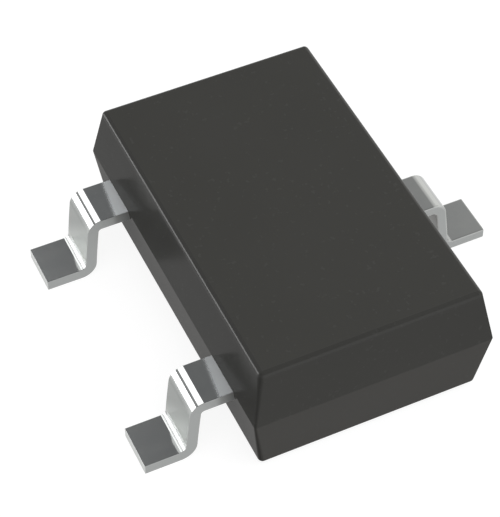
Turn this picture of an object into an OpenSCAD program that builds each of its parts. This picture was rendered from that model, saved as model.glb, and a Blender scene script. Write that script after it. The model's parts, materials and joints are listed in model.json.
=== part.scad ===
/* [Moulded body] */
// Length of the body at its parting line
body_length = 2.98; // [2.70:0.01:3.30]
// Width of the body at its parting line
body_width = 1.88; // [1.60:0.01:2.10]
// Height of the upper half, from the parting line to the top face
upper_height = 0.46; // [0.40:0.01:0.60]
// Height of the lower half, from the bottom face to the parting line
lower_height = 0.54; // [0.40:0.01:0.60]
// Gap between the bottom face and the circuit board
standoff = 0.02; // [0.02:0.01:0.10]
// Slope of the upper half's walls, which lets it leave its side of the mould
upper_draft = 9.5; // [5:0.5:12]
// Slope of the lower half's walls, for the other side of the mould
lower_draft = 7.5; // [5:0.5:12]
// Radius of the edges round the top and bottom faces
edge_radius = 0.04; // [0.01:0.005:0.06]
// Radius of the four upright corners at the parting line
corner_radius = 0.02; // [0.02:0.005:0.10]

/* [Leads outside the body] */
// Thickness of the strip that the leads are stamped from
lead_thickness = 0.09; // [0.08:0.01:0.15]
// Width of each lead
lead_width = 0.37; // [0.25:0.01:0.45]
// Distance between the centres of the two leads on one side
lead_pitch = 1.90; // [1.60:0.05:2.10]
// Distance across the part from foot tip to foot tip
lead_span = 3.27; // [3.00:0.01:3.50]
// Length of the flat sole of each foot
foot_length = 0.28; // [0.15:0.005:0.35]
// Lean of each leg away from upright
leg_lean = 6.5; // [0:0.5:15]
// Inside radius of the bend from shoulder to leg
shoulder_bend_radius = 0.03; // [0.02:0.01:0.08]
// Inside radius of the bend from leg to foot
foot_bend_radius = 0.04; // [0.03:0.01:0.12]

/* [Lead frame inside the body] */
// Length of the die paddle, along the body
paddle_length = 1.00; // [0.80:0.05:1.20]
// Width of the die paddle, across the body
paddle_width = 0.80; // [0.70:0.05:0.90]
// Shift of the paddle from the middle of the body towards its own lead
paddle_shift = 0.20; // [0.10:0.05:0.25]
// Gap between the paddle and the bond posts
post_gap = 0.20; // [0.10:0.05:0.25]
// Length of each bond post, along the body
post_length = 0.60; // [0.50:0.05:0.75]
// Width of each bond post, across the body
post_width = 0.30; // [0.25:0.05:0.40]
// Diameter of the holes that lock the leads into the body
anchor_hole_diameter = 0.14; // [0.08:0.02:0.18]

/* [Die and bond wires] */
// Side of the square silicon die
die_size = 0.45; // [0.35:0.05:0.60]
// Thickness of the silicon die
die_thickness = 0.15; // [0.10:0.01:0.18]
// Thickness of the layer that fixes the die to the paddle
attach_thickness = 0.02; // [0.01:0.005:0.03]
// Width of that layer beyond each side of the die
attach_margin = 0.03; // [0.01:0.01:0.05]
// Distance of each bond pad from the middle lines of the die
pad_offset = 0.11; // [0.06:0.01:0.12]
// Diameter of the bond wires
wire_diameter = 0.025; // [0.018:0.001:0.035]
// Height of the wire's middle above the die, at the top of its loop
loop_height = 0.12; // [0.10:0.01:0.14]
// Radius of the wire's turn at the top of its loop
loop_radius = 0.06; // [0.04:0.01:0.08]
// Diameter of the pressed ball that joins a wire to the die
ball_diameter = 0.07; // [0.05:0.01:0.10]
// Height of the pressed ball
ball_height = 0.025; // [0.02:0.005:0.03]
// Diameter of the pressed end that joins a wire to its post
stitch_diameter = 0.08; // [0.06:0.01:0.10]
// Height of the pressed end
stitch_height = 0.010; // [0.006:0.002:0.020]

/* [Hidden] */
$fn = 48;
hull_fn = 24;

// Colours of the finished pieces
compound_colour = "#40403d";
tin_colour = "#b9bbbd";
silicon_colour = "#4d5560";
attach_colour = "#8f9296";
gold_colour = "#d9b25c";

// Levels above the circuit board
parting_z = standoff + lower_height;
top_z = parting_z + upper_height;
die_bottom_z = parting_z + attach_thickness;
die_top_z = die_bottom_z + die_thickness;

// Each lead turns down at its shoulder and back by the same angle at its foot
bend_angle = 90 - leg_lean;
shoulder_centre_z = parting_z - lead_thickness - shoulder_bend_radius;
foot_centre_z = lead_thickness + foot_bend_radius;
centre_spacing = shoulder_bend_radius + lead_thickness + foot_bend_radius;
leg_drop = shoulder_centre_z - foot_centre_z + centre_spacing * sin(leg_lean);
leg_length = leg_drop / cos(leg_lean);
leg_reach = centre_spacing * cos(leg_lean) + leg_length * sin(leg_lean);
shoulder_end = lead_span / 2 - foot_length - leg_reach;

// Places in the lead frame; the two leads with posts are on the minus Y side
paddle_back = paddle_shift + paddle_width / 2;
paddle_front = paddle_shift - paddle_width / 2;
post_middle = paddle_front - post_gap - post_width / 2;
post_outer_side = (lead_pitch + lead_width) / 2;
post_round_x = post_outer_side - post_length + post_width / 2;
neck_middle = (paddle_back + body_width / 2) / 2;

// The wire runs in an upright plane, from its pad to the round end of its post
pad_place = [pad_offset, paddle_shift - pad_offset];
stitch_place = [post_round_x, post_middle];
wire_reach = norm(stitch_place - pad_place);
wire_heading = atan2(stitch_place.y - pad_place.y, stitch_place.x - pad_place.x);
turn_centre_z = die_top_z + loop_height - loop_radius;
turn_to_stitch = [wire_reach - loop_radius, turn_centre_z - parting_z];
turn_distance = norm(turn_to_stitch);
wire_slope = atan2(turn_to_stitch.y, turn_to_stitch.x) + asin(loop_radius / turn_distance);
slope_length = sqrt(turn_distance ^ 2 - loop_radius ^ 2);
// The slope is drawn past the post's face by this much, and then cut level with it
slope_spare = wire_diameter / tan(wire_slope);

// How far a round edge's centre lies inside the parting line, in a half of this height and slope
function edge_inset(half_height, draft) =
    (half_height - edge_radius) * tan(draft) + edge_radius / cos(draft);

// A bend of the strip round the z axis, from the given angle onwards
module strip_bend(inside_radius, start_angle) {
    rotate([0, 0, start_angle])
        rotate_extrude(angle = bend_angle)
            translate([inside_radius, -lead_width / 2])
                square([lead_thickness, lead_width]);
}

// A straight length of the strip along x, with its thickness along y
module strip_run(length) {
    translate([0, 0, -lead_width / 2])
        cube([length, lead_thickness, lead_width]);
}

// A gull-wing lead towards plus Y, from inside the body to the tip of its foot
module gull_wing(inner_end) {
    rotate([90, 0, 90]) {
        translate([inner_end, parting_z - lead_thickness, 0])
            strip_run(shoulder_end - inner_end);
        translate([shoulder_end, shoulder_centre_z, 0]) {
            strip_bend(shoulder_bend_radius, leg_lean);
            rotate([0, 0, -bend_angle])
                translate([0, shoulder_bend_radius, 0])
                    leg_and_foot();
        }
    }
}

// The leg along x, and the foot that turns back from its end
module leg_and_foot() {
    strip_run(leg_length);
    translate([leg_length, lead_thickness + foot_bend_radius, 0]) {
        strip_bend(foot_bend_radius, -90);
        rotate([0, 0, bend_angle])
            translate([0, -foot_bend_radius - lead_thickness, 0])
                strip_run(foot_length);
    }
}

// A flat piece of the lead frame, with its top face level with the parting line
module frame_plate() {
    translate([0, 0, parting_z - lead_thickness])
        linear_extrude(lead_thickness)
            children();
}

// A hole through the lead frame, which the compound fills
module anchor_hole(x, y) {
    translate([x, y, parting_z - 2 * lead_thickness])
        cylinder(d = anchor_hole_diameter, h = 3 * lead_thickness);
}

// The lead at plus X on the two-lead side, with its round-ended bond post
module post_lead() {
    difference() {
        union() {
            translate([lead_pitch / 2, 0, 0])
                rotate([0, 0, 180])
                    gull_wing(-post_middle);
            frame_plate() {
                translate([post_round_x, post_middle - post_width / 2])
                    square([post_outer_side - post_round_x, post_width]);
                translate([post_round_x, post_middle])
                    circle(d = post_width);
            }
        }
        anchor_hole(lead_pitch / 2, post_middle);
    }
}

// The ball of a bond wire, pressed flat on the die
module pressed_ball() {
    translate([0, 0, die_top_z])
        intersection() {
            translate([0, 0, ball_height / 2])
                sphere(d = ball_diameter);
            translate([-ball_diameter / 2, -ball_diameter / 2, 0])
                cube([ball_diameter, ball_diameter, ball_height]);
        }
}

// The turn at the top of the loop, and the slope down from it towards the post
module turn_and_slope() {
    translate([loop_radius, 0, turn_centre_z])
        rotate([90, 0, 0])
            rotate([0, 0, 90 - wire_slope]) {
                rotate_extrude(angle = 90 + wire_slope)
                    translate([loop_radius, 0])
                        circle(d = wire_diameter);
                translate([loop_radius, 0, 0])
                    rotate([90, 0, 0])
                        cylinder(d = wire_diameter, h = slope_length + slope_spare);
            }
}

// A bond wire in the xz plane: pressed ball, neck, turn, slope and pressed end
module wire_in_plane() {
    pressed_ball();
    translate([0, 0, die_top_z])
        cylinder(d = wire_diameter, h = turn_centre_z - die_top_z);
    difference() {
        turn_and_slope();
        translate([wire_reach - stitch_diameter, -stitch_diameter, parting_z - stitch_diameter])
            cube([2 * stitch_diameter, 2 * stitch_diameter, stitch_diameter]);
    }
    translate([wire_reach, 0, parting_z])
        cylinder(d1 = stitch_diameter, d2 = stitch_diameter - 2 * stitch_height, h = stitch_height);
}

// The bond wire at plus X
module post_wire() {
    translate([pad_place.x, pad_place.y, 0])
        rotate([0, 0, wire_heading])
            wire_in_plane();
}

// The round end of an upright corner, a ball that has a point at each pole
module edge_corner(inset, z) {
    translate([body_length / 2 - inset, body_width / 2 - inset, z])
        rotate_extrude($fn = hull_fn)
            intersection() {
                circle(r = edge_radius, $fn = hull_fn);
                translate([0, -edge_radius])
                    square([edge_radius, 2 * edge_radius]);
            }
}

// A flat cone whose rim is the corner of the parting line
module parting_corner() {
    translate([body_length / 2 - corner_radius, body_width / 2 - corner_radius, parting_z])
        cylinder(r1 = corner_radius, r2 = 0, h = edge_radius, $fn = hull_fn);
}

// The body's outside: two drafted halves that meet in a sharp parting line
module body_blank() {
    hull()
        for (x = [0, 1], y = [0, 1])
            mirror([x, 0, 0])
                mirror([0, y, 0]) {
                    edge_corner(edge_inset(upper_height, upper_draft), top_z - edge_radius);
                    parting_corner();
                    edge_corner(edge_inset(lower_height, lower_draft), standoff + edge_radius);
                }
}

// The moulding compound, which fills the space round everything inside it
module moulded_body() {
    color(compound_colour)
        difference() {
            body_blank();
            base_lead();
            emitter_lead();
            collector_lead();
            silicon_die();
            die_attach();
            base_bond_wire();
            emitter_bond_wire();
        }
}

// The lead at minus X on the two-lead side
module base_lead() {
    color(tin_colour)
        mirror([1, 0, 0])
            post_lead();
}

// The lead at plus X on the two-lead side
module emitter_lead() {
    color(tin_colour)
        post_lead();
}

// The single lead, which widens inside the body into the paddle under the die
module collector_lead() {
    color(tin_colour)
        difference() {
            union() {
                gull_wing(paddle_shift);
                frame_plate()
                    translate([-paddle_length / 2, paddle_front])
                        square([paddle_length, paddle_width]);
            }
            anchor_hole(0, neck_middle);
        }
}

// The silicon chip, over the middle of the paddle
module silicon_die() {
    color(silicon_colour)
        translate([-die_size / 2, paddle_shift - die_size / 2, die_bottom_z])
            cube([die_size, die_size, die_thickness]);
}

// The layer between the die and the paddle
module die_attach() {
    side = die_size + 2 * attach_margin;
    color(attach_colour)
        translate([-side / 2, paddle_shift - side / 2, parting_z])
            cube([side, side, attach_thickness]);
}

// The wire from the die to the base lead's post
module base_bond_wire() {
    color(gold_colour)
        mirror([1, 0, 0])
            post_wire();
}

// The wire from the die to the emitter lead's post
module emitter_bond_wire() {
    color(gold_colour)
        post_wire();
}

moulded_body();
base_lead();
emitter_lead();
collector_lead();
silicon_die();
die_attach();
base_bond_wire();
emitter_bond_wire();
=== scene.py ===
# %% [markdown]
# A surface-mount transistor is smaller than a grain of rice: a black moulded body, with three thin
# tinned leads that are bent down to the circuit board. The frame that is loaded here is the exact
# model of it. We could model it all again in Blender, but then two models would have to agree. So we
# keep the frame as it is and dress it: finer meshes for what shows, and a finish for every surface.
# The frame's own box is kept.

# %% Load the frame
import json
import math

import bmesh
import bpy
from mathutils import Matrix, Vector

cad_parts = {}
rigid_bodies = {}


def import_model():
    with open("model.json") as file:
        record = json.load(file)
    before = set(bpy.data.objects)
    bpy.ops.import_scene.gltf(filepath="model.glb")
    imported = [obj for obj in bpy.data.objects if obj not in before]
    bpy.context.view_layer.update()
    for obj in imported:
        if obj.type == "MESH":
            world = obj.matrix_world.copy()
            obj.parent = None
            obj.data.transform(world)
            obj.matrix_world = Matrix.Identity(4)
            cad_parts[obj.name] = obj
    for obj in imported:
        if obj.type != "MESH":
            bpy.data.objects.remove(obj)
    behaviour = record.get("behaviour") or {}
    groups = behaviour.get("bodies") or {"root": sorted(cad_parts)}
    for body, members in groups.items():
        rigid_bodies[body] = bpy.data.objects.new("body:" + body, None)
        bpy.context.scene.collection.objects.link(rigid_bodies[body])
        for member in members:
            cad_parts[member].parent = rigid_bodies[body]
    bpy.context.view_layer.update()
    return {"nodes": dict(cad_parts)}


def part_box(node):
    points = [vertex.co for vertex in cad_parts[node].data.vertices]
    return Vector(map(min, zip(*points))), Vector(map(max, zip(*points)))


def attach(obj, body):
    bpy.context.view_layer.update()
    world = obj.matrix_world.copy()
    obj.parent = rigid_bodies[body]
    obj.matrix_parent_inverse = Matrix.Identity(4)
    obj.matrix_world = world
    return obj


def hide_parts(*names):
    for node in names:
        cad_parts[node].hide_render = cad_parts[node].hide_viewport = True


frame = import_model()
print("frame nodes:", ", ".join(sorted(frame["nodes"])))

# %% [markdown]
# The strip of the leads is less than a tenth of a millimetre thick, and Blender counts in metres.
# Numbers that small are hard to read and upset some mesh tools, so every mesh is made in
# millimetres and scaled down when it is finished. The main sizes come from the frame's boxes.

# %% Sizes from the frame, in millimetres
MM = 0.001


def box_mm(node):
    """The lowest and the highest corner of a node, in millimetres."""
    low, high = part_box(node)
    return low / MM, high / MM


body_low, body_high = box_mm("moulded_body")
post_low, post_high = box_mm("emitter_lead")
paddle_low, paddle_high = box_mm("collector_lead")
half_length = body_high.x
half_width = body_high.y
parting_z = post_high.z
print(f"body {2 * half_length:.2f} x {2 * half_width:.2f} mm, parting line {parting_z:.2f} mm up")

# %% [markdown]
# Each new mesh goes through the same last steps, so they are one helper: mark the edges that stay
# crisp, shade the rest smoothly, and scale to metres. The weighted normals let the large flat faces
# decide the shading, so that a flat face beside a small round edge still looks flat. They are worked
# out before the scaling, because the modifier takes faces of a few square microns for nothing.

# %% A finished mesh becomes a piece
CRISP_ANGLE = math.radians(40)
FLAT_FACE_WEIGHT = 100


def make_piece(name, bm, crisp_angle=CRISP_ANGLE):
    """An object in metres from a mesh in millimetres."""
    bmesh.ops.recalc_face_normals(bm, faces=bm.faces)
    for edge in bm.edges:
        edge.smooth = edge.calc_face_angle(0) < crisp_angle
    for face in bm.faces:
        face.smooth = True
    rough_mesh = bpy.data.meshes.new(name)
    bm.to_mesh(rough_mesh)
    bm.free()
    piece = bpy.data.objects.new(name, rough_mesh)
    bpy.context.collection.objects.link(piece)
    shading = piece.modifiers.new("flat faces first", "WEIGHTED_NORMAL")
    shading.keep_sharp = True
    shading.weight = FLAT_FACE_WEIGHT
    shaded = piece.evaluated_get(bpy.context.evaluated_depsgraph_get())
    piece.data = bpy.data.meshes.new_from_object(shaded)
    piece.modifiers.clear()
    piece.data.transform(Matrix.Scale(MM, 4))
    bpy.data.meshes.remove(rough_mesh)
    print(f"{name}: {len(piece.data.polygons)} faces")
    return piece


# %% [markdown]
# The body is pressed in a mould of two halves, so its walls slope both ways from the parting line,
# and the edges of the top and bottom faces are slightly round. A cube with bevels can't hold two
# slopes and two radii at once. Here the body is a stack of rounded rectangles from the bottom to the
# top, joined level by level, which gives each slope and each radius exactly.

# %% Sizes of the body
lower_slope = math.radians(7.5)
upper_slope = math.radians(9.5)
edge_radius = 0.04
corner_radius = 0.02
CORNER_STEPS = 8
EDGE_STEPS = 8


def edge_inset(half_height, slope):
    """How far the centre of a round edge lies inside the parting line."""
    return (half_height - edge_radius) * math.tan(slope) + edge_radius / math.cos(slope)


lower_inset = edge_inset(parting_z - body_low.z, lower_slope)
upper_inset = edge_inset(body_high.z - parting_z, upper_slope)
print(f"round edges start {lower_inset:.3f} and {upper_inset:.3f} mm inside the parting line")

# %% Levels of the body
def edge_levels(centre_z, side, slope, inset):
    """Levels round an edge, from the wall to the flat face; side is 1 at the top, -1 at the bottom."""
    rows = []
    for step in range(EDGE_STEPS + 1):
        turn = slope + (math.pi / 2 - slope) * step / EDGE_STEPS
        z = centre_z + side * edge_radius * math.sin(turn)
        rows.append((z, inset, edge_radius * math.cos(turn)))
    return rows


lower_edge = edge_levels(body_low.z + edge_radius, -1, lower_slope, lower_inset)
upper_edge = edge_levels(body_high.z - edge_radius, 1, upper_slope, upper_inset)
levels = lower_edge[::-1] + [(parting_z, corner_radius, corner_radius)] + upper_edge
top_edge_begins = len(levels) - len(upper_edge)
print(len(levels), "levels in the body")

# %% Body mesh
SAME_POINT = 1e-5


def rounded_level(bm, z, inset, radius):
    """A closed row of points: a rectangle whose corner centres lie inset from the parting line."""
    row = []
    for corner, (side_x, side_y) in enumerate(((1, 1), (-1, 1), (-1, -1), (1, -1))):
        for step in range(CORNER_STEPS + 1):
            angle = (corner + step / CORNER_STEPS) * math.pi / 2
            x = side_x * (half_length - inset) + radius * math.cos(angle)
            y = side_y * (half_width - inset) + radius * math.sin(angle)
            row.append(bm.verts.new((x, y, z)))
    return row


def body_mesh():
    """The closed body; its corner points are welded where a radius has shrunk to nothing."""
    bm = bmesh.new()
    rows = [rounded_level(bm, *level) for level in levels]
    top_edge = bm.faces.layers.float.new("top_edge")
    upright_edge = bm.faces.layers.float.new("upright_edge")
    for level, (below, above) in enumerate(zip(rows, rows[1:])):
        for i in range(len(below)):
            j = (i + 1) % len(below)
            face = bm.faces.new((below[i], below[j], above[j], above[i]))
            face[top_edge] = 1 if level >= top_edge_begins else 0
            step = i % (CORNER_STEPS + 1)
            if step < CORNER_STEPS:
                face[upright_edge] = 1 - abs(2 * step + 1 - CORNER_STEPS) / CORNER_STEPS
    bm.faces.new(rows[0])
    bm.faces.new(rows[-1])
    bmesh.ops.remove_doubles(bm, verts=bm.verts, dist=SAME_POINT)
    return bm


print(4 * (CORNER_STEPS + 1), "points in each level")

# %% Body
# The parting line turns by both slopes, more than one step of any round, so this keeps it crisp
PARTING_SHARE = 0.9
parting_angle = lower_slope + upper_slope
body = make_piece("body", body_mesh(), PARTING_SHARE * parting_angle)
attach(body, "root")
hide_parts("moulded_body")

# %% [markdown]
# Leads start as a flat strip. A press stamps their outline, plating coats them, and a second press
# bends them once the body is moulded. Extruding a bent profile would be quicker, but the post and the
# paddle inside are wider than the strip. So we work as the press does: draw the flat blank, give it
# thickness and slightly round edges, and then wrap it along the line of the finished lead. The
# blank's own coordinates are kept on every point, so that rolling marks can follow the bends.

# %% Line that the strip follows
thickness = 0.09
lead_width = 0.37
foot_length = 0.28
leg_lean = math.radians(6.5)
leg_bow = math.radians(-2)
shoulder_bend = 0.03
foot_bend = 0.04
shoulder_radius = shoulder_bend + thickness / 2
foot_radius = foot_bend + thickness / 2
span = paddle_high.y
# The strip's slope below level, where its leg starts and where it ends
steep = math.pi / 2 - leg_lean + leg_bow / 2
gentle = math.pi / 2 - leg_lean - leg_bow / 2

leg_drop = parting_z - thickness
leg_drop -= shoulder_radius * (1 - math.cos(steep)) + foot_radius * (1 - math.cos(gentle))
leg_radius = leg_drop / (math.cos(gentle) - math.cos(steep))
bends_reach = shoulder_radius * math.sin(steep) + foot_radius * math.sin(gentle)
leg_reach = bends_reach + leg_radius * (math.sin(steep) - math.sin(gentle))
shoulder_end = span - foot_length - leg_reach
print(f"shoulder ends {shoulder_end:.3f} mm out, leg bowed to {leg_radius:.2f} mm radius")

# %% Wrapping the blank along that line
# Each stretch of the strip: its length, and its slope at its start and at its end
STRETCHES = (
    (shoulder_end, 0, 0),
    (shoulder_radius * steep, 0, steep),
    (leg_radius * leg_bow, steep, gentle),
    (foot_radius * gentle, gentle, 0),
    (foot_length, 0, 0),
)
tip = sum(length for length, start, end in STRETCHES)


def formed(run, height):
    """Where a point of the blank goes: its run along the strip, its height above the strip's middle."""
    out = min(run, 0)
    up = parting_z - thickness / 2
    slope = 0
    for length, start, end in STRETCHES:
        part = min(max(run, 0), length)
        slope = start + (end - start) * part / length
        if start == end:
            out += part * math.cos(start)
        else:
            radius = length / (end - start)
            out += radius * (math.sin(slope) - math.sin(start))
            up += radius * (math.cos(slope) - math.cos(start))
        run -= length
        if run <= 0:
            break
    return out + height * math.sin(slope), up + height * math.cos(slope)


tip_out, tip_up = formed(tip, 0)
print(f"the tip lands {tip_out:.3f} mm out and {tip_up - thickness / 2:.4f} mm above the board")

# %% Outlines of the blanks
arm_radius = 0.15
plate_length = 0.80
plate_end = paddle_low.y + plate_length
ROUND_STEPS = 24


def arc(x, run, radius, start, sweep, steps):
    """Points on an arc, its angles in degrees."""
    angles = (math.radians(start + sweep * i / steps) for i in range(steps + 1))
    return [(x + radius * math.cos(a), run + radius * math.sin(a)) for a in angles]


def post_outline():
    """The lead with a bond post: a strip with a round-ended arm at its inner end."""
    outer = post_high.x
    inner = outer - lead_width
    arm_low = -post_high.y
    arm = arc(post_low.x + arm_radius, arm_low + arm_radius, arm_radius, 90, 180, ROUND_STEPS)
    return [(outer, arm_low), (outer, tip), (inner, tip), (inner, arm_low + 2 * arm_radius)] + arm


def paddle_outline():
    """The lead that carries the die: a strip that starts in a broad plate."""
    side = lead_width / 2
    half = [(paddle_high.x, paddle_low.y), (paddle_high.x, plate_end), (side, plate_end), (side, tip)]
    return half + [(-x, run) for x, run in reversed(half)]


print("blank outlines:", len(post_outline()), "and", len(paddle_outline()), "points")

# %% Stamping a blank
hole_radius = 0.07
edge_round = 0.015
cut_sharpness = 0.4
ROUND_EDGE_STEPS = 4
FLAT_ENOUGH = 0.01


def stamped_blank(outline, hole):
    """A flat blank with a hole and slightly round edges, its middle at height 0."""
    bm = bmesh.new()
    loops = [outline, arc(*hole, hole_radius, 0, 360, ROUND_STEPS)[:-1]]
    edges = []
    for loop in loops:
        points = [bm.verts.new((x, run, -thickness / 2)) for x, run in loop]
        edges += [bm.edges.new((a, b)) for a, b in zip(points, points[1:] + points[:1])]
    bmesh.ops.triangle_fill(bm, edges=edges, use_beauty=True)
    bmesh.ops.dissolve_limit(bm, angle_limit=FLAT_ENOUGH, verts=bm.verts, edges=bm.edges)
    raised = bmesh.ops.extrude_face_region(bm, geom=bm.faces)["geom"]
    top = [g for g in raised if isinstance(g, bmesh.types.BMVert)]
    bmesh.ops.translate(bm, verts=top, vec=(0, 0, thickness))
    bmesh.ops.recalc_face_normals(bm, faces=bm.faces)
    corners = [e for e in bm.edges if e.calc_face_angle(0) > CRISP_ANGLE]
    bmesh.ops.bevel(bm, geom=corners, offset=edge_round, segments=ROUND_EDGE_STEPS,
                    profile=0.5, affect="EDGES", clamp_overlap=True)
    # The end of the strip is cut off after plating, so its edges are sharper than the others
    for vert in bm.verts:
        if vert.co.y > tip - edge_round:
            vert.co.y = tip - (tip - vert.co.y) * cut_sharpness
    return bm


print(f"blanks are {thickness} mm thick, with edges rounded by {edge_round} mm")

# %% Bending a blank
CUT_SPACING = 0.008


def bend_cuts():
    """Runs at which the blank is cut across, so that its bends are smooth."""
    cuts = []
    begin = 0
    for length, start, end in STRETCHES:
        steps = math.ceil(length / CUT_SPACING) if start != end else 1
        cuts += [begin + length * i / steps for i in range(steps)]
        begin += length
    return cuts[1:]


def bend(bm, side_x, side_y):
    """Cuts the blank across its bends, then wraps it; the sides say which corner of the part it serves."""
    for run in bend_cuts():
        everything = bm.verts[:] + bm.edges[:] + bm.faces[:]
        bmesh.ops.bisect_plane(bm, geom=everything, dist=SAME_POINT,
                               plane_co=(0, run, 0), plane_no=(0, 1, 0))
    bm.normal_update()
    sheared = bm.faces.layers.float.new("sheared")
    for face in bm.faces:
        face[sheared] = max(0, 1 - 2 * abs(face.normal.z))
    flat_place = bm.verts.layers.float_vector.new("flat_place")
    for vert in bm.verts:
        vert[flat_place] = vert.co
        out, up = formed(vert.co.y, vert.co.z)
        vert.co = Vector((side_x * vert.co.x, side_y * out, up))
    return bm


print(len(bend_cuts()), "cuts across each blank")

# %% Three leads
lead_x = post_high.x - lead_width / 2
post_hole = (lead_x, arm_radius - post_high.y)
neck_hole = (0, (plate_end + half_width) / 2)
LEADS = {
    "base_strip": ("base_lead", post_outline(), post_hole, -1, -1),
    "emitter_strip": ("emitter_lead", post_outline(), post_hole, 1, -1),
    "collector_strip": ("collector_lead", paddle_outline(), neck_hole, 1, 1),
}
strips = []
for name, (node, outline, hole, side_x, side_y) in LEADS.items():
    strip = make_piece(name, bend(stamped_blank(outline, hole), side_x, side_y))
    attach(strip, "root")
    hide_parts(node)
    strips.append(strip)

# %% [markdown]
# Finishes are node trees. They could be wired by hand in the shader editor, or link by link in code,
# but a tree of sums is hard to read that way. A small class wraps one socket, so that a finish is
# written as ordinary arithmetic, and one method makes every other node from its type, its settings
# and what goes into its sockets.

# %% Arithmetic on sockets
class Signal:
    """An output socket; each sign used on it adds one Math node."""

    def __init__(self, sheet, socket):
        self.sheet = sheet
        self.socket = socket

    def also(self, output):
        """Another output of the same node."""
        return Signal(self.sheet, self.socket.node.outputs[output])

    def sum(self, operation, first, second):
        """One Math node."""
        return self.sheet.node("ShaderNodeMath", {"operation": operation}, {0: first, 1: second})

    def __add__(self, other):
        return self.sum("ADD", self, other)

    def __sub__(self, other):
        return self.sum("SUBTRACT", self, other)

    def __mul__(self, other):
        return self.sum("MULTIPLY", self, other)

    def __rsub__(self, other):
        return self.sum("SUBTRACT", other, self)

    __radd__ = __add__
    __rmul__ = __mul__


print("sockets can be added, subtracted and multiplied")

# %% Sheets of nodes
class Sheet:
    """The node tree of one finish."""

    def __init__(self, tree):
        self.tree = tree
        tree.nodes.clear()

    def node(self, kind, settings, sockets, output=0):
        """A node with its settings, its sockets filled, and the output that is wanted of it."""
        made = self.tree.nodes.new(kind)
        for name, value in settings.items():
            setattr(made, name, value)
        for name, value in sockets.items():
            if isinstance(value, Signal):
                self.tree.links.new(value.socket, made.inputs[name])
            else:
                made.inputs[name].default_value = value
        return Signal(self, made.outputs[output]) if made.outputs else None

    def attribute(self, name, output="Fac"):
        """A value that the mesh carries on its faces or points."""
        return self.node("ShaderNodeAttribute", {"attribute_name": name}, {}, output)

    def axis(self, place, letter):
        """One coordinate of a place."""
        return self.node("ShaderNodeSeparateXYZ", {}, {0: place}, letter)

    def ramp(self, signal, low, high):
        """0 below low, 1 above high, and a smooth rise between them."""
        return self.node("ShaderNodeMapRange", {"interpolation_type": "SMOOTHSTEP"},
                         {"Value": signal, "From Min": low, "From Max": high})

    def zone(self, signal, rise, fall):
        """1 after the rise and before the fall, each of them a low and a high value."""
        return self.ramp(signal, *rise) * (1 - self.ramp(signal, *fall))

    def noise(self, place, scale, detail=2.0):
        """Cloudy noise from 0 to 1, this many clouds to a millimetre."""
        return self.node("ShaderNodeTexNoise", {}, {"Vector": place, "Scale": scale, "Detail": detail})

    def blend(self, factor, first, second):
        """A colour between two colours."""
        return self.node("ShaderNodeMix", {"data_type": "RGBA"}, {0: factor, 6: first, 7: second}, 2)

    def scaled(self, place, by):
        """A place multiplied by three numbers."""
        return self.node("ShaderNodeVectorMath", {"operation": "MULTIPLY"}, {0: place, 1: by})

    def place_mm(self):
        """Where a point lies in the part, in millimetres."""
        place = self.node("ShaderNodeTexCoord", {}, {}, "Object")
        return self.scaled(place, (1 / MM, 1 / MM, 1 / MM))

    def bump(self, height, depth):
        """A normal that follows the height, whose full range is this deep in millimetres."""
        return self.node("ShaderNodeBump", {}, {"Height": height, "Distance": depth * MM, "Strength": 1.0})

    def surface(self, sockets):
        """The shader at the end of the sheet."""
        shader = self.node("ShaderNodeBsdfPrincipled", {}, sockets)
        self.node("ShaderNodeOutputMaterial", {}, {"Surface": shader})


def new_finish(name):
    """A material and the empty sheet that is its node tree."""
    material = bpy.data.materials.new(name)
    material.use_nodes = True
    return material, Sheet(material.node_tree)


print("sheets hold the nodes of one finish each")

# %% [markdown]
# The body is epoxy filled with fine silica, pressed against a spark-eroded mould. So its black is a
# warm dark grey with a fine grain, a few paler filler specks, and broad faint clouds where the
# compound flowed in. One shader with a middling gloss would look like rubber. Here a dull shader
# and a glossy one are mixed: a thin skin of resin shines a little over a dull inside, and most of
# all on the round top edge. The grain is far too small for mesh, so it is bump of about a micron.

# %% Shades of the compound
dark_black = (0.056, 0.0555, 0.0515, 1)
light_black = (0.063, 0.0625, 0.058, 1)
# The lower half is painted lighter: painted light bounced up from the floor
lower_half_painted_light = (0.077, 0.0745, 0.068, 1)
# The round upright corners are painted darker: a painted shade line
upright_painted_shade = (0.020, 0.020, 0.019, 1)
speck_grey = (0.085, 0.085, 0.081, 1)
dark_resin = (0.018, 0.018, 0.017, 1)
light_resin = (0.024, 0.024, 0.022, 1)
parting_blur = 0.012
grain_depth = 0.0006
CLOUDS_PER_MM = 1.1
GRAINS_PER_MM = 38.0
SPECKS_PER_MM = 26.0
SPECK_LEVELS = (0.66, 0.74)
print(f"grain of the compound: {1000 * grain_depth:.1f} microns deep")

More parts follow.
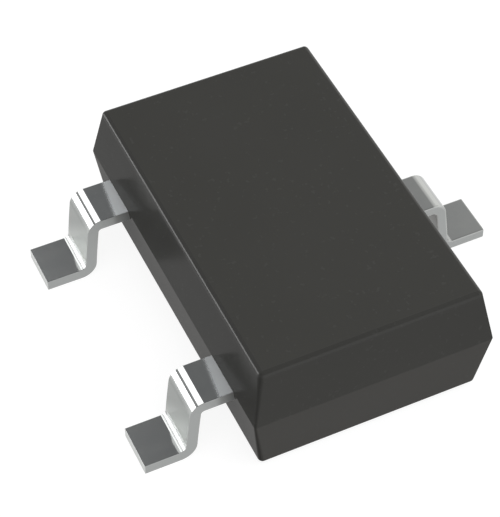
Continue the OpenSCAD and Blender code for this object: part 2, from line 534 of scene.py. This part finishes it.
# %% Moulding compound
def compound_finish():
    """Dull compound under a thin skin of glossy resin."""
    material, sheet = new_finish("compound")
    place = sheet.place_mm()
    clouds = sheet.noise(place, CLOUDS_PER_MM, 3.0)
    grain = sheet.noise(place, GRAINS_PER_MM, 4.0)
    specks = sheet.ramp(sheet.noise(place, SPECKS_PER_MM, 1.0), *SPECK_LEVELS)
    top_edge = sheet.attribute("top_edge")
    upright_edge = sheet.attribute("upright_edge")
    lower_half = 1 - sheet.ramp(sheet.axis(place, "Z"), parting_z - parting_blur, parting_z + parting_blur)
    shade = sheet.blend(clouds, dark_black, light_black)
    # The lower half of the body is painted lighter, as painted light from the floor
    shade = sheet.blend(lower_half, shade, lower_half_painted_light)
    shade = sheet.blend(specks * 0.4, shade, speck_grey)
    # The upright corners are painted darker, as a painted shade line
    shade = sheet.blend(upright_edge * 0.5, shade, upright_painted_shade)
    normal = sheet.bump(grain, grain_depth)
    dull = sheet.node("ShaderNodeBsdfPrincipled", {}, {
        "Base Color": shade,
        "Roughness": 1.0,
        "Specular IOR Level": 0.0,
        "Normal": normal,
    })
    glossy = sheet.node("ShaderNodeBsdfPrincipled", {}, {
        "Base Color": sheet.blend(clouds, dark_resin, light_resin),
        "Roughness": 0.16 + 0.08 * clouds + 0.06 * (grain - 0.5) - 0.04 * top_edge,
        "IOR": 1.5,
        "Normal": normal,
    })
    # How much the skin covers: more on the round top edge, little on the uprights
    skin = (0.23 + 0.06 * clouds + 0.28 * top_edge - 0.03 * lower_half) * (1 - 0.8 * upright_edge)
    mixed = sheet.node("ShaderNodeMixShader", {}, {0: skin, 1: dull, 2: glossy})
    sheet.node("ShaderNodeOutputMaterial", {}, {"Surface": mixed})
    return material


body.data.materials.append(compound_finish())
print("compound on", body.name)

# %% [markdown]
# The leads are copper alloy with a thin bright coat of tin. Rolling leaves faint lines along the
# strip, and the tools leave their own marks: a satin band where the mould clamps the strip beside the
# body, satin legs and heels where the forming tool wipes them, dull undersides, grey sheared sides,
# and a brighter cut at the tip. Light and shade are painted in as well: painted shade at the top of
# the legs and painted light towards the foot, a painted reflection on the band beside the body, and
# painted shade on its sheared sides and on the undersides. They could be painted on a picture, but
# then the strip would have to be unwrapped. The blank's flat coordinates already say how far along
# the strip each point lies, so every mark is a zone of that run.

# %% Zones of the strip, in millimetres along it
leg_begin = shoulder_end + shoulder_radius * steep
leg_finish = leg_begin + leg_radius * leg_bow
foot_begin = tip - foot_length
leg_rise = (leg_begin - 0.05, leg_begin - 0.01)
leg_fall = (leg_finish - 0.03, leg_finish)
heel_rise = (leg_finish - 0.02, leg_finish)
heel_fall = (foot_begin - 0.02, foot_begin)
# Painted shade and light on the legs: darker at the top, lighter towards the foot, slanted across
leg_gradient_rise = (leg_begin + 0.01, leg_finish)
leg_gradient_slant = 0.9
cut_rise = (tip - edge_round * cut_sharpness, tip)
under_rise = (-0.03, 0.0)
# The band beside the body: painted lighter on its faces, painted darker on its sheared sides
clamp_reach = 0.088
clamp_fade = 0.025
clamp_fall = (clamp_reach - clamp_fade, clamp_reach + clamp_fade)
clamp_slant = 0.12
print(f"leg from {leg_begin:.3f} to {leg_finish:.3f} mm along the strip, foot from {foot_begin:.3f} mm")

# %% Shades of the tin
dark_tin = (0.405, 0.415, 0.415, 1)
light_tin = (0.465, 0.47, 0.46, 1)
# The legs are painted darker at the top and lighter at the bottom: painted shade and painted light
upper_leg_painted_shade_tin = (0.280, 0.292, 0.282, 1)
lower_leg_painted_light_tin = (0.60, 0.62, 0.60, 1)
sheared_tin = (0.355, 0.365, 0.36, 1)
# Painted shade: the sheared sides are darker beside the body
near_body_painted_shade_tin = (0.265, 0.27, 0.265, 1)
cut_tin = (0.52, 0.53, 0.52, 1)
# Painted reflection: the faces of the band beside the body are painted lighter
near_body_painted_light_tin = (0.53, 0.547, 0.553, 1)
# Painted shade: the undersides of the strip are darker
under_painted_shade_tin = (0.33, 0.33, 0.32, 1)
mark_depth = 0.0004
# How many marks to a millimetre: across the strip, along it and through its thickness
ROLLING_LINES = (60, 2.5, 10)
SHEAR_STREAKS = (50, 50, 4)
COAT_PER_MM = 9.0
print(f"marks in the tin: {1000 * mark_depth:.1f} microns deep")

# %% Tin plate
def tin_finish():
    """Bright tin, with the marks of each tool and the painted light and shade in their zones of the strip.
    """
    material, sheet = new_finish("tinned lead")
    place = sheet.attribute("flat_place", "Vector")
    sheared = sheet.attribute("sheared")
    face = 1 - sheared
    lines = sheet.noise(sheet.scaled(place, ROLLING_LINES), 1.0, 3.0)
    streaks = sheet.noise(sheet.scaled(place, SHEAR_STREAKS), 1.0, 3.0)
    coat = sheet.noise(place, COAT_PER_MM, 3.0)

    run = sheet.axis(place, "Y")
    part_x = sheet.axis(sheet.place_mm(), "X")
    across = sheet.node("ShaderNodeMath", {"operation": "WRAP"}, {0: part_x, 1: lead_x / 2, 2: -lead_x / 2})
    near_body_band = 1 - sheet.ramp(run - half_width - clamp_slant * across, *clamp_fall)
    leg = sheet.zone(run, leg_rise, leg_fall) * face
    leg_painted_gradient = sheet.ramp(run + leg_gradient_slant * across, *leg_gradient_rise)
    heel = sheet.zone(run, heel_rise, heel_fall)
    under = 1 - sheet.ramp(run.also("Z"), *under_rise)

    side = sheet.blend(sheet.ramp(run, *cut_rise), sheared_tin, cut_tin)
    # Beside the body the sheared sides are painted darker: painted shade where the lead leaves the body
    side = sheet.blend(near_body_band, side, near_body_painted_shade_tin)
    tint = sheet.blend(coat, dark_tin, light_tin)
    # The legs are painted darker at the top and lighter towards the foot: painted shade and a painted
    # reflection
    tint = sheet.blend(leg, tint, sheet.blend(leg_painted_gradient, upper_leg_painted_shade_tin, lower_leg_painted_light_tin))
    tint = sheet.blend(sheared, tint, side)
    # Beside the body the faces are painted lighter: a painted reflection
    tint = sheet.blend(near_body_band * face, tint, near_body_painted_light_tin)
    # The undersides are painted darker: painted shade under the strip
    tint = sheet.blend(under * face, tint, under_painted_shade_tin)
    # Nearly a mirror as it is plated, and satin where a tool has pressed or cut
    gloss = 0.03 + 0.04 * coat + 0.03 * lines
    wear = 0.35 * sheared + 0.28 * leg + (0.30 * heel + 0.24 * near_body_band + 0.20 * under) * face
    sheet.surface({
        "Base Color": tint,
        "Metallic": 1.0,
        "Roughness": gloss + wear,
        "Normal": sheet.bump(lines * 0.3 + coat * 0.2 + streaks * sheared * 0.5, mark_depth),
    })
    return material


tin = tin_finish()
for strip in strips:
    strip.data.materials.append(tin)
print("tin on", len(strips), "leads")

# %% [markdown]
# Inside the body are the silicon die, the solder under it and two gold wires. Nobody sees them, but a
# library part may be cut open for a drawing. New meshes would gain nothing here, so the frame's own
# solids keep their shape and only get finishes: one noise for each, stretched along the saw marks of
# the die, the grain of the solder or the drawing lines of the wire.

# %% Finishes inside the body
MARKS_ROUGHNESS = 0.15


def marked_finish(name, dark, light, metallic, roughness, stretch, depth):
    """A surface whose shade, gloss and height follow one noise, stretched along its marks."""
    material, sheet = new_finish(name)
    marks = sheet.noise(sheet.scaled(sheet.place_mm(), stretch), 1.0, 3.0)
    sheet.surface({
        "Base Color": sheet.blend(marks, dark, light),
        "Metallic": metallic,
        "Roughness": roughness + MARKS_ROUGHNESS * marks,
        "Normal": sheet.bump(marks, depth),
    })
    return material


silicon = marked_finish("silicon", (0.13, 0.15, 0.18, 1), (0.19, 0.21, 0.24, 1),
                        metallic=0.4, roughness=0.15, stretch=(8, 8, 60), depth=0.0005)
solder = marked_finish("attach", (0.38, 0.39, 0.40, 1), (0.50, 0.51, 0.52, 1),
                       metallic=1.0, roughness=0.35, stretch=(25, 25, 25), depth=0.002)
gold = marked_finish("gold wire", (0.72, 0.50, 0.16, 1), (0.85, 0.63, 0.25, 1),
                     metallic=1.0, roughness=0.15, stretch=(20, 20, 60), depth=0.0003)
INSIDE = {
    "silicon_die": silicon,
    "die_attach": solder,
    "base_bond_wire": gold,
    "emitter_bond_wire": gold,
}
for node, material in INSIDE.items():
    node_mesh = frame["nodes"][node].data
    node_mesh.materials.clear()
    node_mesh.materials.append(material)
print("finishes inside the body:", len(INSIDE))

# %% [markdown]
# The part stands on a white table. The floor has to look white in the picture and in the metal, but a
# brighter lamp would wash the black body out, so the floor glows a little by itself for the rays that
# come from the camera or from a shiny surface. Its own shading stays under that, with the soft shadow.
# It lies a micron under the soles, because two faces in one plane flicker.

# %% Floor
floor_radius = 300
floor_gap = 0.001
floor_glow = 0.88
dark_table = (0.19, 0.19, 0.19, 1)
light_table = (0.21, 0.21, 0.21, 1)
FLOOR_STEPS = 96


def floor_finish():
    """White for the eye and for shiny surfaces, and grey for the light that falls on it."""
    material, sheet = new_finish("white table")
    paths = sheet.node("ShaderNodeLightPath", {}, {}, "Is Camera Ray")
    seen = paths + paths.also("Is Glossy Ray") + paths.also("Is Transmission Ray")
    fibres = sheet.noise(sheet.place_mm(), 3.0)
    sheet.surface({
        "Base Color": sheet.blend(fibres, dark_table, light_table),
        "Roughness": 1.0,
        "Specular IOR Level": 0.0,
        "Emission Color": sheet.blend(seen, (0, 0, 0, 1), (1, 1, 1, 1)),
        "Emission Strength": floor_glow,
    })
    return material


floor_bm = bmesh.new()
bmesh.ops.create_circle(floor_bm, cap_ends=True, radius=floor_radius, segments=FLOOR_STEPS)
bmesh.ops.translate(floor_bm, verts=floor_bm.verts, vec=(0, 0, -floor_gap))
floor = make_piece("floor", floor_bm)
floor.data.materials.append(floor_finish())

# %% [markdown]
# Polished metal shows its surroundings more than its own colour, so the light starts as a room. A
# picture of a real studio would do, but it is a large file and hard to change. Here the room is a few
# ramps over the directions of the sky: white walls, brighter on the right, and above them a dim
# ceiling, darkest in front, which the flat tops of the leads mirror.

# %% Room
ceiling_rise = (math.sin(math.radians(26)), math.sin(math.radians(34)))
right_rise = (0.20, 0.62)
front_rise = (-0.45, 0.0)
away_rise = (0.06, 0.26)
left_wall = (1, 1, 1, 1)
right_wall = (1.28, 1.28, 1.25, 1)
left_ceiling = (0.48, 0.485, 0.49, 1)
middle_ceiling = (0.23, 0.235, 0.24, 1)
front_ceiling = (0.10, 0.10, 0.105, 1)
right_ceiling = (1.0, 1.0, 0.98, 1)

world = bpy.data.worlds.new("room")
world.use_nodes = True
bpy.context.scene.world = world
sky = Sheet(world.node_tree)
direction = sky.node("ShaderNodeTexCoord", {}, {}, "Generated")
upwards = sky.axis(direction, "Z")
right_side = sky.ramp(upwards.also("Y"), *right_rise)
ceiling = sky.blend(sky.ramp(upwards.also("Y"), *away_rise), left_ceiling, middle_ceiling)
ceiling = sky.blend(sky.ramp(upwards.also("X"), *front_rise), ceiling, front_ceiling)
ceiling = sky.blend(right_side, ceiling, right_ceiling)
walls = sky.blend(right_side, left_wall, right_wall)
colour = sky.blend(sky.ramp(upwards, *ceiling_rise), walls, ceiling)
background = sky.node("ShaderNodeBackground", {}, {"Color": colour, "Strength": 1.0})
sky.node("ShaderNodeOutputWorld", {}, {"Surface": background})
print("room of", len(world.node_tree.nodes), "nodes")

# %% [markdown]
# Four round softboxes do the rest. The main lamp, high on the camera's side, lights the body and makes
# the soft shadow, and it is kept out of the gloss, where it would show as a white disc. The next two
# are for the leads alone: each draws one bright line along a bend, and the strip of ceiling between
# them draws the dark line in the middle. The last stands low at the left and draws the thin line on
# the top edge of the body. Light linking keeps each of these to the pieces that it is meant for.

# %% Softboxes
lamp_distance = 80


def from_angles(azimuth, elevation):
    """The direction towards an azimuth, turned from +X to +Y, and an elevation, in degrees."""
    a = math.radians(azimuth)
    e = math.radians(elevation)
    return Vector((math.cos(a) * math.cos(e), math.sin(a) * math.cos(e), math.sin(e)))


def softbox(name, azimuth, elevation, spread, level):
    """A round lamp that covers spread degrees each way; at level 1 it looks as bright as white paper."""
    radius = lamp_distance * MM * math.tan(math.radians(spread))
    light = bpy.data.lights.new(name, "AREA")
    light.shape = "DISK"
    light.size = 2 * radius
    light.energy = level * math.pi * math.pi * radius ** 2
    lamp = bpy.data.objects.new(name, light)
    towards = from_angles(azimuth, elevation)
    lamp.location = towards * lamp_distance * MM
    lamp.rotation_euler = towards.to_track_quat("Z", "Y").to_euler()
    bpy.context.collection.objects.link(lamp)
    print(f"{name}: {1000 * light.energy:.1f} mW, {2000 * radius:.0f} mm across")
    return lamp


def only_for(lamp, pieces):
    """Lets a lamp show in the gloss of some pieces and light nothing else."""
    group = bpy.data.collections.new(lamp.name)
    for piece in pieces:
        group.objects.link(piece)
    lamp.light_linking.receiver_collection = group
    lamp.visible_diffuse = False


# %% Four lamps
main_lamp = softbox("main lamp", azimuth=5, elevation=70, spread=25, level=2.4)
upper_line = softbox("softbox behind the leads", azimuth=194.3, elevation=53, spread=16.9, level=2.4)
lower_line = softbox("low softbox at the left", azimuth=232, elevation=13, spread=20, level=4.5)
edge_line = softbox("softbox for the body's edge", azimuth=231, elevation=2, spread=20, level=4.8)
main_lamp.visible_glossy = False
only_for(upper_line, strips)
only_for(lower_line, strips)
only_for(edge_line, [body])

# %% [markdown]
# The camera stands where the photograph's did. It could be placed by eye, but on a part with straight
# edges a degree of error shows. So its angles and distance were fitted to the corners of the body and
# the tips of the leads, and the picture's middle is a little off the part's.

# %% Camera angles
picture_width = 500
picture_height = 517
focal_pixels = 2035.0
camera_azimuth = math.radians(65.647)
camera_elevation = math.radians(48.596)
camera_roll = math.radians(-0.794)
camera_distance = 15.188
aim_height = 0.5
aim_right = 0.257
aim_up = 0.0975

level_away = Vector((math.sin(camera_azimuth), -math.cos(camera_azimuth), 0))
back = level_away * math.cos(camera_elevation) + Vector((0, 0, math.sin(camera_elevation)))
level_right = Vector((math.cos(camera_azimuth), math.sin(camera_azimuth), 0))
level_up = back.cross(level_right)
right = level_right * math.cos(camera_roll) + level_up * math.sin(camera_roll)
up = level_up * math.cos(camera_roll) - level_right * math.sin(camera_roll)
eye = Vector((0, 0, aim_height)) + back * camera_distance - right * aim_right - up * aim_up
print(f"camera {eye.length:.1f} mm from the middle of the footprint")

# %% Camera
view_end = 1000
camera_data = bpy.data.cameras.new("camera")
camera_data.sensor_width = 36
camera_data.lens = focal_pixels / max(picture_width, picture_height) * camera_data.sensor_width
camera_data.clip_start = MM
camera_data.clip_end = view_end * MM
camera = bpy.data.objects.new("camera", camera_data)
camera.matrix_world = Matrix.Translation(eye * MM) @ Matrix((right, up, back)).transposed().to_4x4()
bpy.context.collection.objects.link(camera)
bpy.context.scene.camera = camera
bpy.context.scene.view_settings.view_transform = "Standard"
print(f"lens {camera_data.lens:.1f} mm")
